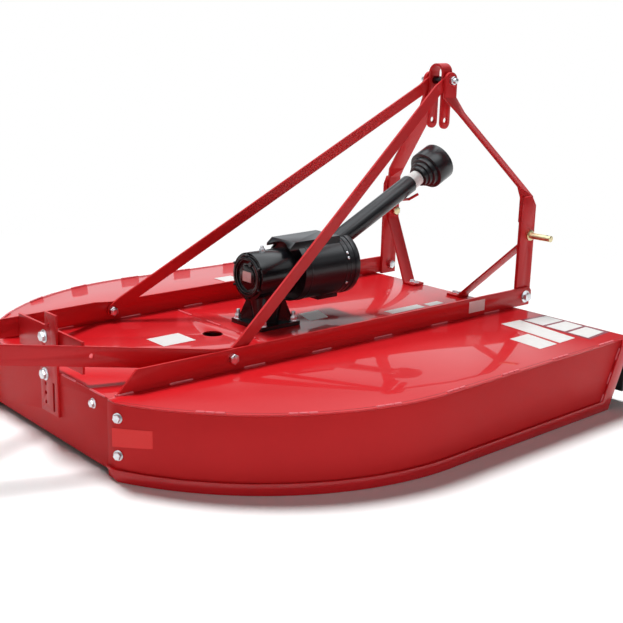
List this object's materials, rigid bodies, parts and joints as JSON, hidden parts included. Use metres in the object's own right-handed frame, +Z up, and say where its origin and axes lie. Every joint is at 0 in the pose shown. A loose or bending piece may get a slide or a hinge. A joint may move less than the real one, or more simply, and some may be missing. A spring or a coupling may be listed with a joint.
{
  "type": "slasher mower",
  "caption": "Mounted rotary slasher mower: skirted deck on runners, hitch frame with floating top link, gearbox, guarded driveline, swinging-blade rotor and castoring tail wheel.",
  "frame": {"origin": "on the floor, at the middle of the whole machine's length and width as it stands on its runners and tail wheel", "axes": "-Y forwards to the hitch, +X to the machine's left, +Z up"},
  "size_m": [1.734, 2.502, 1.066],
  "materials": {
    "red_paint": "gloss",
    "black_paint": "gloss",
    "black_plastic": "gloss",
    "steel": "bare steel",
    "zinc": "yellow zinc",
    "belting": "matt",
    "tyre": "matt"
  },
  "bodies": {
    "frame": {"front_plate": "red_paint", "rear_plate": "red_paint", "wing_plates": "red_paint", "skirts": "red_paint", "rear_band": "red_paint", "runners": "red_paint", "rails": "red_paint", "front_angle": "red_paint", "front_curtain": "belting", "clamp_bar": "red_paint", "uprights": "red_paint", "mast_bars": "red_paint", "struts": "red_paint", "braces": "red_paint", "hitch_pins": "zinc", "top_bolt": "steel", "top_spacer": "black_paint", "frame_bolts": "steel", "gearbox_stand": "black_paint", "gearbox_housing": "black_paint", "gearbox_cover": "black_paint", "input_guard": "black_plastic", "input_yoke": "steel", "rear_shaft": "steel", "rear_guard_tube": "black_plastic", "shaft_hook": "red_paint", "tower": "red_paint", "tail_arms": "red_paint", "arm_cross": "red_paint", "swivel_tube": "red_paint"},
    "top_link": {"top_strap": "red_paint"},
    "rotor": {"output_shaft": "steel", "blade_pan": "red_paint", "blade_bolts": "steel"},
    "first_blade": {"blade_a": "red_paint"},
    "second_blade": {"blade_b": "red_paint"},
    "driveline_front": {"front_shaft": "steel", "front_guard_tube": "black_plastic", "front_bell": "black_plastic", "front_yoke": "steel"},
    "tail_fork": {"fork": "red_paint", "axle": "steel"},
    "tail_wheel": {"wheel_hub": "red_paint", "tyre": "tyre"}
  },
  "joints": [
    {"name": "top_link_swing", "type": "hinge", "parent": "frame", "child": "top_link", "pos_m": [0, -1.097, 1.006], "axis": [1, 0, 0], "range_deg": [-100, 100]},
    {"name": "rotor_spin", "type": "hinge", "parent": "frame", "child": "rotor", "pos_m": [0, -0.303, 0.124], "axis": [0, 0, 1], "continuous": true},
    {"name": "first_blade_swing", "type": "hinge", "parent": "rotor", "child": "first_blade", "pos_m": [0.235, -0.303, 0.059], "axis": [0, 0, 1], "range_deg": [-110, 110]},
    {"name": "second_blade_swing", "type": "hinge", "parent": "rotor", "child": "second_blade", "pos_m": [-0.235, -0.303, 0.059], "axis": [0, 0, 1], "range_deg": [-110, 110]},
    {"name": "driveline_slide", "type": "slide", "parent": "frame", "child": "driveline_front", "axis": [0, -0.898, 0.4399], "range_m": [0, 0.12]},
    {"name": "tail_swivel", "type": "hinge", "parent": "frame", "child": "tail_fork", "pos_m": [0, 0.981, 0.36], "axis": [0, 0, 1], "continuous": true},
    {"name": "tail_wheel_spin", "type": "hinge", "parent": "tail_fork", "child": "tail_wheel", "pos_m": [0, 1.101, 0.15], "axis": [1, 0, 0], "continuous": true}
  ]
}
